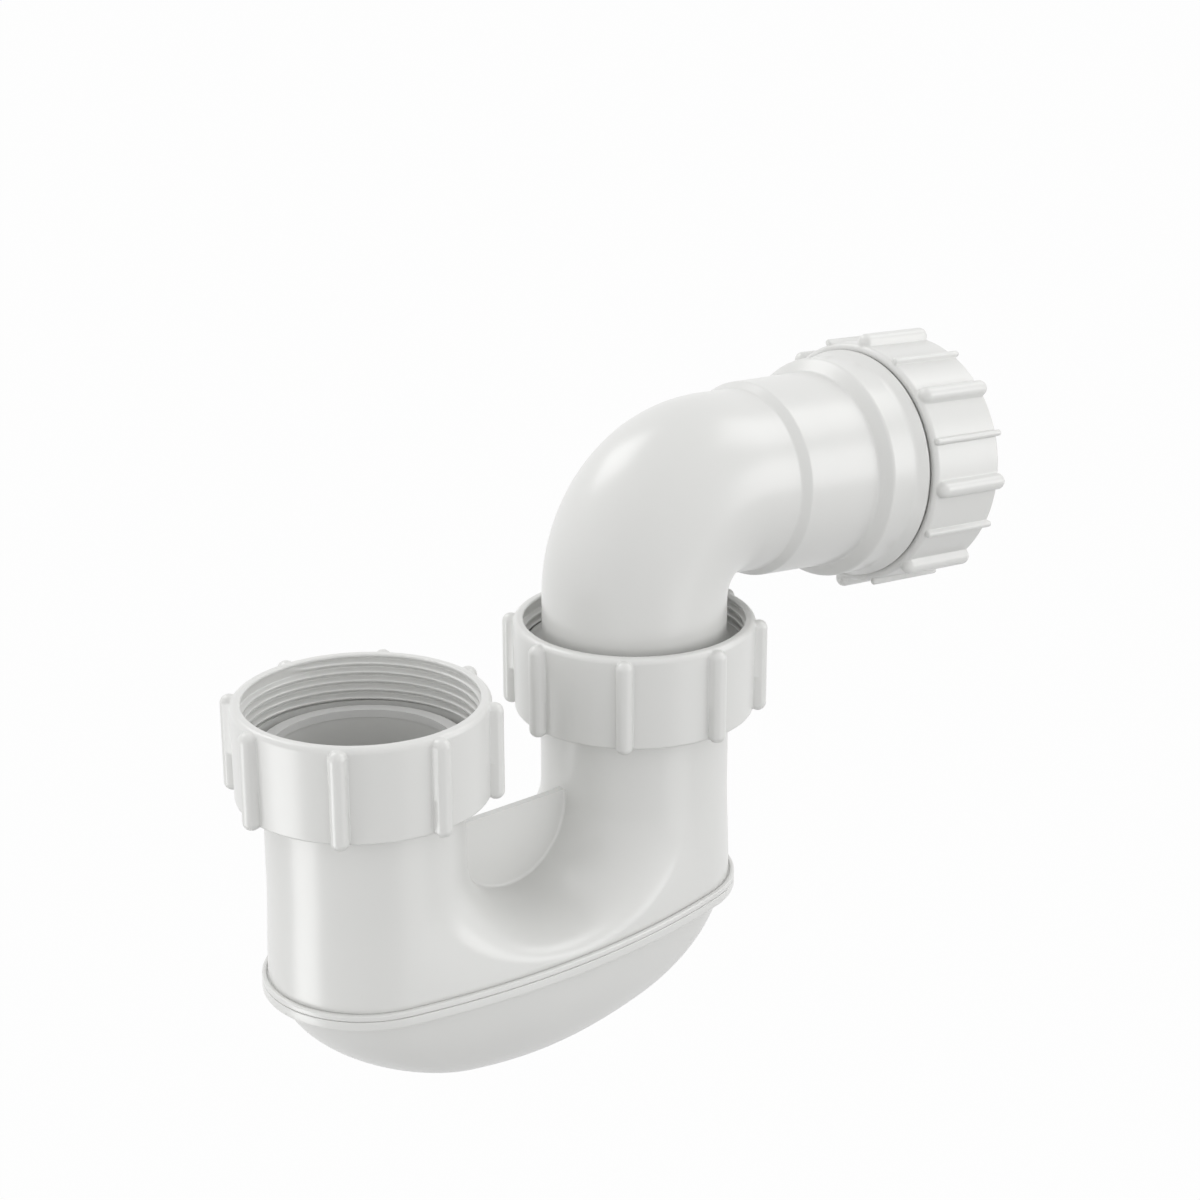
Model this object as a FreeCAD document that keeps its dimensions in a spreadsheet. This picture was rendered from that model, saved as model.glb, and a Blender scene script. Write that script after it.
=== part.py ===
import FreeCAD, Part
import math
import os

import Sketcher
from FreeCAD import Placement, Rotation, Vector

# Tubular swivel P-trap for a 50 mm waste pipe, in millimetres.
# The frame: the origin is the centre of the inlet nut's open mouth, +Z is up the
# inlet and +X runs from the inlet leg to the riser, which carries the outlet.

# The driving dimensions: name, value and what the value measures.
SIZES = [
    ("leg_spacing", 85.7, "axis of the inlet leg to the axis of the riser"),
    ("leg_radius", 24.4, "outside of each leg"),
    ("wall", 2.5, "wall of the two trap mouldings"),
    ("seam_depth", 71.0, "weld seam below the mouth"),
    ("crotch_rise", 8.65, "lowest point of the crotch between the legs, above the seam"),
    ("seam_end_flare", 0.6, "how much wider than the legs the round ends are at the seam"),
    ("seam_side_flare", 5.8, "how far the sides stand out past the legs, half way along"),
    ("shoulder_height", 2.8, "low sloping shoulder above the seam"),
    ("rim_reach", 1.6, "how far the welded rim stands out from the wall"),
    ("body_rim_height", 1.6, "rim of the upper moulding"),
    ("bowl_rim_height", 2.6, "rim of the bowl"),
    ("bowl_depth", 32.6, "lowest point of the bowl below its rim"),
    ("bowl_inset", 0.6, "step from the rim's root in to the bowl's wall"),
    ("bowl_long_power", 1.9, "fullness of the bowl seen from the side; 2 is an ellipse"),
    ("bowl_cross_power", 2.2, "fullness of the bowl seen from the end; 2 is an ellipse"),
    ("web_rise", 2.6, "top edge of the web above the centre of the round crotch"),
    ("web_thickness", 2.0, "web between the legs"),
    ("web_root", 1.0, "how far the web runs into the legs and the crotch"),
    ("leg_end_depth", 14.3, "flat sealing end of each leg below the nut's mouth"),
    ("leg_flange_thickness", 2.5, "flat edge of the flange on each leg"),
    ("flange_clearance", 0.4, "between a leg's flange and the bore of its nut"),
    ("washer_thickness", 2.0, "flat washers"),
    ("washer_radius", 25.7, "outside of the flat washers"),
    ("washer_bore", 22.3, "bore of the flat washers"),
    ("washer_edge_round", 0.4, "rounded upper edge of the flat washers"),
    ("nut_height", 24.3, "leg nuts, without the ends of their ribs"),
    ("nut_radius", 31.3, "outside of a leg nut at its mouth"),
    ("nut_taper", 0.3, "how much narrower a leg nut is at its lip"),
    ("nut_bore", 28.33, "crest of the nut's inside thread, G 2"),
    ("nut_thread_length", 12.0, "thread, from the mouth of a leg nut"),
    ("nut_relief", 0.5, "how much wider the bore is behind the thread"),
    ("nut_lip", 3.6, "straight part of the lip that holds the nut on its leg"),
    ("nut_leg_clearance", 0.35, "between the lip and the leg"),
    ("nut_edge_round", 1.5, "rounded outer edge of a nut's mouth"),
    ("lip_edge_round", 0.8, "rounded outer edge of a nut's lip"),
    ("rib_count", 8, "wide ribs round each nut"),
    ("rib_radius", 2.2, "half width and reach of a wide rib"),
    ("rib_end_round", 2.1, "rounded end of a rib"),
    ("rib_overhang", 0.6, "how far a rib runs past the lip"),
    ("rib_setback", 0.2, "how far a rib starts behind the mouth"),
    ("rib_rise", 0.7, "how far the axis of a wide rib lies outside the nut's wall"),
    ("thread_clearance", 0.08, "radial running fit between a nut and its thread"),
    ("elbow_radius", 23.8, "outside of the swivel elbow's tube"),
    ("elbow_wall", 2.5, "wall of the swivel elbow"),
    ("elbow_collar_height", 5.6, "threaded collar of the elbow"),
    ("collar_edge_round", 0.75, "rounded upper edge of the collar"),
    ("collar_fillet", 3.0, "hollow round between the collar and the tube"),
    ("bend_radius", 24.4, "centre line of the elbow's bend"),
    ("outlet_height", 32.4, "outlet axis above the mouth, where it meets the riser axis"),
    ("outlet_slope", 5.0, "fall of the outlet, in degrees"),
    ("sleeve_start", 35.6, "first step, from the riser axis along the outlet"),
    ("sleeve_radius", 25.5, "outside of the sleeve between the steps"),
    ("sleeve_draft", 0.4, "how much the sleeve widens along its length"),
    ("step_length", 2.4, "length of each conical step"),
    ("step_round", 1.2, "rounded corners of the steps"),
    ("socket_start", 61.6, "second step, from the riser axis along the outlet"),
    ("socket_radius", 29.3, "outside of the socket behind its bead"),
    ("bead_radius", 30.5, "bead behind the outlet nut"),
    ("bead_length", 2.2, "bead, with its slope"),
    ("bead_land", 0.9, "straight part of the bead"),
    ("outlet_nut_start", 76.7, "outlet nut's mouth, from the riser axis along the outlet"),
    ("outlet_nut_gap", 0.35, "open line between the bead and the outlet nut"),
    ("socket_thread_radius", 29.95, "outside of the socket's thread"),
    ("socket_length", 11.3, "socket's thread past the mouth of the outlet nut"),
    ("pipe_bore", 27.3, "bore of the socket, seal, slip ring and outlet nut"),
    ("pipe_stop_land", 5.0, "shoulder that stops the pipe, past the second step"),
    ("pipe_stop_bore", 24.65, "bore just behind that shoulder"),
    ("outlet_nut_height", 24.1, "outlet nut, without the ends of its ribs"),
    ("outlet_nut_radius", 32.3, "outside of the outlet nut"),
    ("outlet_nut_lip", 3.4, "flat lip of the outlet nut"),
    ("outlet_nut_edge_round", 1.3, "rounded outer edge of the outlet nut's mouth"),
    ("outlet_nut_wall_gap", 0.5, "between the rings and the bore of the outlet nut"),
    ("narrow_rib_radius", 0.9, "half width and reach of a narrow rib"),
    ("narrow_rib_end_round", 0.6, "rounded end of a narrow rib"),
    ("narrow_rib_rise", 0.6, "how far the axis of a narrow rib lies outside the wall"),
    ("slip_ring_thickness", 2.0, "slip ring between the seal and the lip"),
    ("ring_gap", 0.3, "between the slip ring and the lip, and round the seal's nose"),
    ("socket_lip", 1.2, "thickness of the socket's end, outside its coned mouth"),
    ("seal_taper", 0.6, "how much the socket's mouth and the seal's nose narrow"),
    ("seal_nose", 3.0, "length of the seal's tapered nose"),
    ("seal_edge_round", 0.5, "rounded outer edge of the seal"),
]

# How far a cutting tool runs past the face that it opens.
PAST_FACE = 1.0
# How far two solids of one moulding run into each other where they join.
JOIN_OVERLAP = 0.01

document = FreeCAD.newDocument("swivel_trap")
sheet = document.addObject("Spreadsheet::Sheet", "Sizes")


class Size:
    """A size that holds its value and the sheet formula that it follows."""

    def __init__(self, value, formula):
        self.value = float(value)
        self.formula = formula

    @staticmethod
    def of(other):
        if isinstance(other, Size):
            return other
        return Size(other, repr(float(other)))

    def __add__(self, other):
        other = Size.of(other)
        return Size(self.value + other.value, f"({self.formula} + {other.formula})")

    def __sub__(self, other):
        other = Size.of(other)
        return Size(self.value - other.value, f"({self.formula} - {other.formula})")

    def __mul__(self, other):
        other = Size.of(other)
        return Size(self.value * other.value, f"({self.formula} * {other.formula})")

    def __truediv__(self, other):
        other = Size.of(other)
        return Size(self.value / other.value, f"({self.formula} / {other.formula})")

    def __rsub__(self, other):
        return Size.of(other) - self

    def __rtruediv__(self, other):
        return Size.of(other) / self

    def __neg__(self):
        return Size(-self.value, f"(-{self.formula})")

    __radd__ = __add__
    __rmul__ = __mul__


def fill_sheet():
    """Writes the driving dimensions and returns them by name."""
    table = {}
    for row, (name, value, note) in enumerate(SIZES, start=1):
        sheet.set(f"A{row}", name)
        sheet.set(f"B{row}", str(value))
        sheet.set(f"C{row}", note)
        sheet.setAlias(f"B{row}", name)
        table[name] = Size(value, f"Sizes.{name}")
    document.recompute()
    return table


S = fill_sheet()


def cosine(angle):
    return Size(math.cos(math.radians(angle.value)), f"cos({angle.formula} * 1 deg)")


def sine(angle):
    return Size(math.sin(math.radians(angle.value)), f"sin({angle.formula} * 1 deg)")


def bind(item, path, size):
    """Ties one property of an object to the sheet."""
    item.setExpression(path, Size.of(size).formula)


def along_outlet(distance):
    """Returns x and z of a point on the outlet axis, by its distance from the riser axis."""
    x = S["leg_spacing"] + distance * cosine(S["outlet_slope"])
    z = S["outlet_height"] - distance * sine(S["outlet_slope"])
    return x, z


# Sketches and solids of revolution

def new_body(name):
    body = document.addObject("PartDesign::Body", name)
    body.Label = name
    return body


def new_sketch(body, name, role, shift=(0, 0, 0), fall=None):
    """Adds a sketch on one of the body's own planes, moved and turned within it."""
    plane = next(f for f in body.Origin.OriginFeatures if f.Role == role)
    sketch = body.newObject("Sketcher::SketchObject", name)
    sketch.AttachmentSupport = (plane, [""])
    sketch.MapMode = "FlatFace"
    turn = Rotation(Vector(0, 0, -1), fall.value) if fall else Rotation()
    shift = [Size.of(s) for s in shift]
    sketch.AttachmentOffset = Placement(Vector(*(s.value for s in shift)), turn)
    for letter, size in zip("xyz", shift):
        bind(sketch, f"AttachmentOffset.Base.{letter}", size)
    if fall:
        bind(sketch, "AttachmentOffset.Rotation.Angle", fall)
    return sketch


def fix_point(sketch, item, which, x, y):
    """Holds a sketch point at sizes measured from the sketch's origin."""
    for kind, size in (("DistanceX", Size.of(x)), ("DistanceY", Size.of(y))):
        index = sketch.addConstraint(Sketcher.Constraint(kind, -1, 1, item, which, size.value))
        if "Sizes" in size.formula:
            bind(sketch, f"Constraints[{index}]", size)


def draw_outline(sketch, corners):
    """Draws a closed outline of lines; a corner is x, y and, if it is rounded, a radius."""
    count = len(corners)
    spots = [Vector(Size.of(c[0]).value, Size.of(c[1]).value, 0) for c in corners]
    radii = [Size.of(c[2]) if len(c) > 2 else None for c in corners]
    rounds = []
    for i, (spot, radius) in enumerate(zip(spots, radii)):
        back = (spots[i - 1] - spot).normalize()
        ahead = (spots[(i + 1) % count] - spot).normalize()
        if radius is None:
            rounds.append((spot, spot, None, False))
            continue
        half = back.getAngle(ahead) / 2
        reach = radius.value / math.tan(half)
        centre = spot + (back + ahead).normalize() * (radius.value / math.sin(half))
        left_turn = back.cross(ahead).z < 0
        rounds.append((spot + back * reach, spot + ahead * reach, centre, left_turn))
    for i in range(count):
        sketch.addGeometry(Part.LineSegment(rounds[i][1], rounds[(i + 1) % count][0]), False)
    for i, (first, last, centre, left_turn) in enumerate(rounds):
        before = (i - 1) % count
        x, y = corners[i][0], corners[i][1]
        if centre is None:
            sketch.addConstraint(Sketcher.Constraint("Coincident", before, 2, i, 1))
            fix_point(sketch, i, 1, x, y)
            continue
        ends = (first, last) if left_turn else (last, first)
        angles = [math.atan2(e.y - centre.y, e.x - centre.x) for e in ends]
        circle = Part.Circle(centre, Vector(0, 0, 1), radii[i].value)
        arc = sketch.addGeometry(Part.ArcOfCircle(circle, angles[0], angles[1]), False)
        start, end = (1, 2) if left_turn else (2, 1)
        sketch.addConstraint(Sketcher.Constraint("Tangent", before, 2, arc, start))
        sketch.addConstraint(Sketcher.Constraint("Tangent", arc, end, i, 1))
        index = sketch.addConstraint(Sketcher.Constraint("Radius", arc, radii[i].value))
        bind(sketch, f"Constraints[{index}]", radii[i])
        corner = sketch.addGeometry(Part.Point(spots[i]), True)
        sketch.addConstraint(Sketcher.Constraint("PointOnObject", corner, 1, before))
        sketch.addConstraint(Sketcher.Constraint("PointOnObject", corner, 1, i))
        fix_point(sketch, corner, 1, x, y)


def revolve(body, name, sketch, axis, cut=False, angle=None):
    """Turns a sketch about an axis, to add a solid or to cut one away."""
    kind = "PartDesign::Groove" if cut else "PartDesign::Revolution"
    feature = body.newObject(kind, name)
    feature.Profile = (sketch, [""])
    feature.ReferenceAxis = (sketch, [axis])
    feature.Angle = angle.value if angle else 360.0
    if angle:
        bind(feature, "Angle", angle)
    document.recompute()
    return feature


def turned(body, name, corners, cut=False, shift=(0, 0, 0)):
    """Turns an outline in the XZ plane about the sketch's own upright axis."""
    sketch = new_sketch(body, name + "_outline", "XZ_Plane", shift)
    draw_outline(sketch, corners)
    return revolve(body, name, sketch, "V_Axis", cut)


def place_on_outlet(body, distance):
    """Stands a body's -Z axis along the outlet, its origin at a distance on the outlet axis."""
    x, z = along_outlet(distance)
    lean = 90 - S["outlet_slope"]
    body.Placement = Placement(Vector(x.value, 0, z.value), Rotation(Vector(0, -1, 0), lean.value))
    bind(body, "Placement.Base.x", x)
    bind(body, "Placement.Base.z", z)
    bind(body, "Placement.Rotation.Angle", lean)


# Ribbed nuts, each drawn with its mouth at z = 0 and its lip below

def add_ribs(body, name, place_radius, radius, end_round, length, turn):
    """Adds a ring of rounded upright ribs, half sunk in the nut's wall."""
    angle = Size.of(turn)
    across = place_radius * cosine(angle)
    sketch = new_sketch(body, name + "_outline", "XZ_Plane",
                        (across, 0, -(place_radius * sine(angle))))
    top = -S["rib_setback"]
    foot = -length - S["rib_overhang"]
    draw_outline(sketch, [
        (0, foot), (radius, foot, end_round), (radius, top, end_round), (0, top)])
    rib = revolve(body, name, sketch, "V_Axis")
    pattern = body.newObject("PartDesign::PolarPattern", name + "_ring")
    pattern.Originals = [rib]
    upright = next(f for f in body.Origin.OriginFeatures if f.Role == "Z_Axis")
    pattern.Axis = (upright, [""])
    pattern.Angle = 360
    pattern.Occurrences = int(S["rib_count"].value)
    bind(pattern, "Occurrences", S["rib_count"])
    body.Tip = pattern
    document.recompute()
    return pattern


def leg_nut(name):
    """Makes a nut that hangs on a leg's flange by the cone above its lip."""
    body = new_body(name)
    low_radius = S["nut_radius"] - S["nut_taper"]
    lip_bore = S["leg_radius"] + S["nut_leg_clearance"]
    lip_top = S["nut_lip"] - S["nut_height"]
    relief = S["nut_bore"] + S["nut_relief"]
    cone_top = lip_top + relief - lip_bore
    turned(body, name + "_shell", [
        (S["nut_bore"], 0),
        (S["nut_radius"], 0, S["nut_edge_round"]),
        (low_radius, -S["nut_height"], S["lip_edge_round"]),
        (lip_bore, -S["nut_height"]),
        (lip_bore, lip_top),
        (relief, cone_top),
        (relief, -S["nut_thread_length"]),
        (S["nut_bore"], -S["nut_thread_length"])])
    add_ribs(body, name + "_rib", S["nut_radius"] + S["rib_rise"], S["rib_radius"],
             S["rib_end_round"], S["nut_height"], 0)
    return body


def make_outlet_nut():
    """Makes the compression nut, with wide and narrow ribs in turn."""
    body = new_body("outlet_nut")
    bore = S["socket_thread_radius"] + S["thread_clearance"]
    radius = S["outlet_nut_radius"]
    lip_top = S["outlet_nut_lip"] - S["outlet_nut_height"]
    turned(body, "outlet_nut_shell", [
        (0, 0),
        (radius, 0, S["outlet_nut_edge_round"]),
        (radius, -S["outlet_nut_height"], S["lip_edge_round"]),
        (0, -S["outlet_nut_height"])])
    half_turn = 180 / S["rib_count"]
    length = S["outlet_nut_height"]
    add_ribs(body, "outlet_wide_rib", radius + S["rib_rise"], S["rib_radius"],
             S["rib_end_round"], length, 0)
    add_ribs(body, "outlet_narrow_rib", radius + S["narrow_rib_rise"],
             S["narrow_rib_radius"], S["narrow_rib_end_round"], length, half_turn)
    # The bore comes last, so that it also trims the inner sides of the ribs.
    turned(body, "outlet_nut_bore", [
        (0, PAST_FACE),
        (bore, PAST_FACE),
        (bore, lip_top),
        (S["pipe_bore"], lip_top),
        (S["pipe_bore"], -S["outlet_nut_height"] - PAST_FACE),
        (0, -S["outlet_nut_height"] - PAST_FACE)], True)
    place_on_outlet(body, S["outlet_nut_start"])
    return body


# Flat washers and the rings in the outlet

def make_washer(name):
    """Makes the flat washer that lies on the end of a leg."""
    body = new_body(name)
    foot = -S["leg_end_depth"]
    top = foot + S["washer_thickness"]
    turned(body, name + "_ring", [
        (S["washer_bore"], foot), (S["washer_radius"], foot),
        (S["washer_radius"], top, S["washer_edge_round"]), (S["washer_bore"], top)])
    return body


def make_outlet_seal():
    """Makes the rubber ring that seats on the socket's end, its nose in the mouth."""
    body = new_body("outlet_seal")
    outside = S["socket_thread_radius"] - S["outlet_nut_wall_gap"]
    back = -(outlet_ring_space() - S["slip_ring_thickness"] - S["ring_gap"])
    nose = S["socket_thread_radius"] - S["socket_lip"] - S["ring_gap"]
    turned(body, "outlet_seal_ring", [
        (S["pipe_bore"], S["seal_nose"]),
        (nose - S["seal_taper"], S["seal_nose"]),
        (nose, 0),
        (outside, 0),
        (outside, back, S["seal_edge_round"]),
        (S["pipe_bore"], back)])
    place_on_outlet(body, socket_end())
    return body


def make_slip_ring():
    """Makes the hard ring that lets the nut turn without twisting the seal."""
    body = new_body("slip_ring")
    outside = S["socket_thread_radius"] - S["outlet_nut_wall_gap"]
    turned(body, "slip_ring_ring", [
        (S["pipe_bore"], 0), (outside, 0),
        (outside, -S["slip_ring_thickness"]), (S["pipe_bore"], -S["slip_ring_thickness"])])
    lip = S["outlet_nut_start"] + S["outlet_nut_height"] - S["outlet_nut_lip"]
    place_on_outlet(body, lip - S["ring_gap"] - S["slip_ring_thickness"])
    return body


def socket_end():
    return S["outlet_nut_start"] + S["socket_length"]


def outlet_ring_space():
    """Returns the room between the socket's end and the outlet nut's lip."""
    return S["outlet_nut_height"] - S["outlet_nut_lip"] - S["socket_length"]


# Swivel elbow

def bend_tangent():
    """Returns the length from the bend's corner to each end of its arc."""
    turn = 90 + S["outlet_slope"]
    half = turn / 2
    return S["bend_radius"] * sine(half) / cosine(half)


def add_bend(body, name, radius, cut=False):
    """Turns the round section of the elbow through the bend."""
    start = S["outlet_height"] - bend_tangent()
    sketch = new_sketch(body, name + "_section", "XY_Plane", (S["leg_spacing"], 0, start))
    circle = sketch.addGeometry(Part.Circle(Vector(), Vector(0, 0, 1), radius.value), False)
    sketch.addConstraint(Sketcher.Constraint("Coincident", circle, 3, -1, 1))
    index = sketch.addConstraint(Sketcher.Constraint("Radius", circle, radius.value))
    bind(sketch, f"Constraints[{index}]", radius)
    far = S["bend_radius"]
    ends = Vector(far.value, -radius.value, 0), Vector(far.value, radius.value, 0)
    hinge = sketch.addGeometry(Part.LineSegment(*ends), True)
    fix_point(sketch, hinge, 1, far, -radius)
    fix_point(sketch, hinge, 2, far, radius)
    return revolve(body, name, sketch, "Axis0", cut, 90 + S["outlet_slope"])


def add_outlet(body, name, corners, cut=False):
    """Turns an outline about the outlet axis; x runs along that axis."""
    sketch = new_sketch(body, name + "_outline", "XZ_Plane",
                        (S["leg_spacing"], S["outlet_height"], 0), S["outlet_slope"])
    draw_outline(sketch, corners)
    return revolve(body, name, sketch, "H_Axis", cut)


def make_elbow():
    """Makes the elbow that swivels on the riser and carries the outlet socket."""
    body = new_body("elbow")
    radius = S["elbow_radius"]
    bore = radius - S["elbow_wall"]
    foot = S["washer_thickness"] - S["leg_end_depth"]
    collar_radius = S["nut_bore"] - S["thread_clearance"]
    collar_top = foot + S["elbow_collar_height"]
    bend_start = S["outlet_height"] - bend_tangent()
    riser = (S["leg_spacing"], 0, 0)
    turned(body, "elbow_riser", [
        (0, foot), (collar_radius, foot),
        (collar_radius, collar_top, S["collar_edge_round"]),
        (radius, collar_top, S["collar_fillet"]),
        (radius, bend_start), (0, bend_start)], False, riser)
    add_bend(body, "elbow_bend", radius)
    sleeve = S["sleeve_start"] + S["step_length"]
    socket = S["socket_start"] + S["step_length"]
    bead = S["outlet_nut_start"] - S["outlet_nut_gap"]
    bend_end = bend_tangent() - JOIN_OVERLAP
    add_outlet(body, "elbow_outlet", [
        (bend_end, 0),
        (bend_end, radius),
        (S["sleeve_start"], radius, S["step_round"]),
        (sleeve, S["sleeve_radius"], S["step_round"]),
        (S["socket_start"], S["sleeve_radius"] + S["sleeve_draft"], S["step_round"]),
        (socket, S["socket_radius"], S["step_round"]),
        (bead - S["bead_length"], S["socket_radius"], S["step_round"]),
        (bead - S["bead_land"], S["bead_radius"]),
        (bead, S["bead_radius"]),
        (bead, S["socket_thread_radius"]),
        (socket_end(), S["socket_thread_radius"]),
        (socket_end(), 0)])
    turned(body, "elbow_riser_bore", [
        (0, foot - PAST_FACE), (bore, foot - PAST_FACE),
        (bore, bend_start), (0, bend_start)], True, riser)
    add_bend(body, "elbow_bend_bore", bore, True)
    mouth = S["socket_thread_radius"] - S["socket_lip"]
    pipe_stop = socket + S["pipe_stop_land"]
    add_outlet(body, "elbow_outlet_bore", [
        (bend_end, 0),
        (bend_end, bore),
        (S["sleeve_start"], bore),
        (sleeve, S["sleeve_radius"] - S["elbow_wall"]),
        (S["socket_start"], S["sleeve_radius"] - S["elbow_wall"]),
        (socket, S["pipe_stop_bore"]),
        (pipe_stop, S["pipe_stop_bore"]),
        (pipe_stop, S["pipe_bore"]),
        (socket_end() - S["seal_nose"], S["pipe_bore"]),
        (socket_end() - S["seal_nose"], mouth - S["seal_taper"]),
        (socket_end(), mouth),
        (socket_end() + PAST_FACE, mouth),
        (socket_end() + PAST_FACE, 0)], True)
    return body


# Trap mouldings, whose plan is an oval of two round ends and two long side arcs

def crotch_radius():
    """Returns the radius of the round crotch, which touches both legs."""
    return S["leg_spacing"] / 2 - S["leg_radius"]


def crotch_centre_depth():
    """Returns the depth of the centre of the round crotch below the mouth."""
    return S["seam_depth"] - S["crotch_rise"] - crotch_radius()


def seam_end_radius():
    return S["leg_radius"] + S["seam_end_flare"]


def seam_half_width():
    return S["leg_radius"] + S["seam_side_flare"]


def oval(half_length, half_width, end_radius, centre_x, z):
    """Returns a closed wire of four tangent arcs, long in x."""
    reach = half_length - end_radius
    swell = half_width - end_radius
    side_radius = (reach * reach + half_width ** 2 - end_radius ** 2) / (2 * swell)
    side_centre = side_radius - half_width
    tilt = math.atan2(reach, side_centre)
    touch_x = reach + end_radius * math.sin(tilt)
    touch_y = end_radius * math.cos(tilt)

    def spot(x, y):
        return Vector(centre_x + x, y, z)

    arcs = [
        Part.Arc(spot(touch_x, -touch_y), spot(half_length, 0), spot(touch_x, touch_y)),
        Part.Arc(spot(touch_x, touch_y), spot(0, half_width), spot(-touch_x, touch_y)),
        Part.Arc(spot(-touch_x, touch_y), spot(-half_length, 0), spot(-touch_x, -touch_y)),
        Part.Arc(spot(-touch_x, -touch_y), spot(0, -half_width), spot(touch_x, -touch_y))]
    return Part.Wire([arc.toShape() for arc in arcs])


def seam_oval(grow, z):
    """Returns the trap's oval at a level, grown outwards by a distance."""
    end = seam_end_radius().value + grow
    side = seam_half_width().value + grow
    middle = S["leg_spacing"].value / 2
    return oval(middle + end, side, end, middle, z)


def slab(wire, height):
    """Returns the prism that stands on a flat wire."""
    return Part.Face(wire).extrude(Vector(0, 0, height))


def crotch_cutter(radius, extra):
    """Returns the rounded space between the legs, as half ellipses swept across them.

    Each half ellipse starts and ends where the round legs are at that distance
    from the middle, so that the cut surface leaves them without a crease.
    """
    middle = S["leg_spacing"].value / 2
    level = -crotch_centre_depth().value
    drop = S["crotch_rise"].value
    width = seam_half_width().value
    arch_radius = (width ** 2 + drop ** 2) / (2 * drop)
    past_the_legs = 1.0
    stations = [(radius * math.sin(math.radians(turn)), radius * math.cos(math.radians(turn)))
                for turn in range(-90, 91, 18)]
    stations.insert(0, (-radius - past_the_legs, 0.0))
    stations.append((radius + past_the_legs, 0.0))
    turns = [math.radians(turn) for turn in range(0, 181, 18)]
    sections = []
    for y, leg_reach in stations:
        across = middle - leg_reach
        sag = arch_radius - math.sqrt(arch_radius ** 2 - y ** 2)
        down = crotch_radius().value + sag + extra
        spots = [Vector(middle - across * math.cos(turn), y, level - down * math.sin(turn))
                 for turn in turns]
        curve = Part.BSplineCurve()
        curve.interpolate(Points=spots, Parameters=turns, InitialTangent=Vector(0, 0, -down),
                          FinalTangent=Vector(0, 0, down))
        up = Vector(0, 0, PAST_FACE)
        rest = Part.makePolygon([spots[-1], spots[-1] + up, spots[0] + up, spots[0]])
        sections.append(Part.Wire([curve.toShape()] + rest.Edges))
    return Part.makeLoft(sections, True, False)


def saddle(radius, extra, grow):
    """Returns the block that joins the legs, with its rounded crotch and low shoulder."""
    middle = S["leg_spacing"].value / 2
    seam = -S["seam_depth"].value
    level = -crotch_centre_depth().value
    # The block and the shoulder's top stop just inside the round legs, so that
    # they cross the legs' faces and don't lie along them.
    inside = 0.3
    half_width = radius - inside
    block = Part.makeBox(2 * (middle - inside), 2 * half_width, level - seam,
                         Vector(inside, -half_width, seam))
    block = block.cut(crotch_cutter(radius, extra))
    lift = S["shoulder_height"].value - extra
    top = oval(middle + half_width, radius + inside, half_width, middle, seam + lift)
    shoulder = Part.makeLoft([seam_oval(grow, seam), top], True, True)
    return block.fuse(shoulder)


def shaped(name, shape):
    feature = document.addObject("Part::Feature", name)
    feature.Label = name
    feature.Shape = shape
    feature.Placement = Placement()
    return feature


def upright_cylinder(name, radius, foot, height, x=0):
    item = document.addObject("Part::Cylinder", name)
    bind(item, "Radius", radius)
    bind(item, "Height", height)
    bind(item, "Placement.Base.x", x)
    bind(item, "Placement.Base.z", foot)
    return item


def leg_flange(name, x):
    """Makes the flange that the nut pulls up, flat on top and coned below."""
    edge = S["nut_bore"] - S["flange_clearance"]
    cone = document.addObject("Part::Cone", name + "_cone")
    rise = edge - S["leg_radius"]
    top = -S["leg_end_depth"]
    bind(cone, "Radius1", S["leg_radius"])
    bind(cone, "Radius2", edge)
    bind(cone, "Height", rise)
    bind(cone, "Placement.Base.x", x)
    bind(cone, "Placement.Base.z", top - S["leg_flange_thickness"] - rise)
    disc = upright_cylinder(name + "_disc", edge, top - S["leg_flange_thickness"],
                            S["leg_flange_thickness"], x)
    return [cone, disc]


def make_trap_body():
    """Makes the upper moulding: two legs, the saddle between them, the web and the rim."""
    seam = -S["seam_depth"]
    leg_height = S["seam_depth"] - S["leg_end_depth"]
    solids = []
    hollows = []
    bore = S["leg_radius"] - S["wall"]
    for name, x in (("inlet_leg", Size.of(0)), ("riser_leg", S["leg_spacing"])):
        solids.append(upright_cylinder(name, S["leg_radius"], seam, leg_height, x))
        solids += leg_flange(name + "_flange", x)
        hollows.append(upright_cylinder(name + "_bore", bore, seam - PAST_FACE,
                                        leg_height + 2 * PAST_FACE, x))
    solids.append(shaped("saddle_solid", saddle(S["leg_radius"].value, 0.0, 0.0)))
    hollows.append(shaped("saddle_hollow", saddle(bore.value, S["wall"].value, -S["wall"].value)))
    rim = slab(seam_oval(S["rim_reach"].value, seam.value), -S["body_rim_height"].value)
    passage = slab(seam_oval(-S["wall"].value, seam.value), -S["body_rim_height"].value)
    solids.append(shaped("body_rim_solid", rim))
    hollows.append(shaped("body_rim_hollow", passage))
    web = document.addObject("Part::Box", "web")
    drop = crotch_radius() + S["web_root"]
    bind(web, "Length", 2 * drop)
    bind(web, "Width", S["web_thickness"])
    bind(web, "Height", drop + S["web_rise"])
    bind(web, "Placement.Base.x", S["leg_radius"] - S["web_root"])
    bind(web, "Placement.Base.y", -(S["web_thickness"] / 2))
    bind(web, "Placement.Base.z", -(crotch_centre_depth() + drop))
    solids.append(web)
    return hollowed("trap_body", solids, hollows)


def hollowed(name, solids, hollows):
    """Fuses the solids, then cuts the hollows out of them."""
    whole = document.addObject("Part::MultiFuse", name + "_solid")
    whole.Shapes = solids
    space = document.addObject("Part::MultiFuse", name + "_hollow")
    space.Shapes = hollows
    result = document.addObject("Part::Cut", name)
    result.Base = whole
    result.Tool = space
    result.Label = name
    return result


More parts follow.
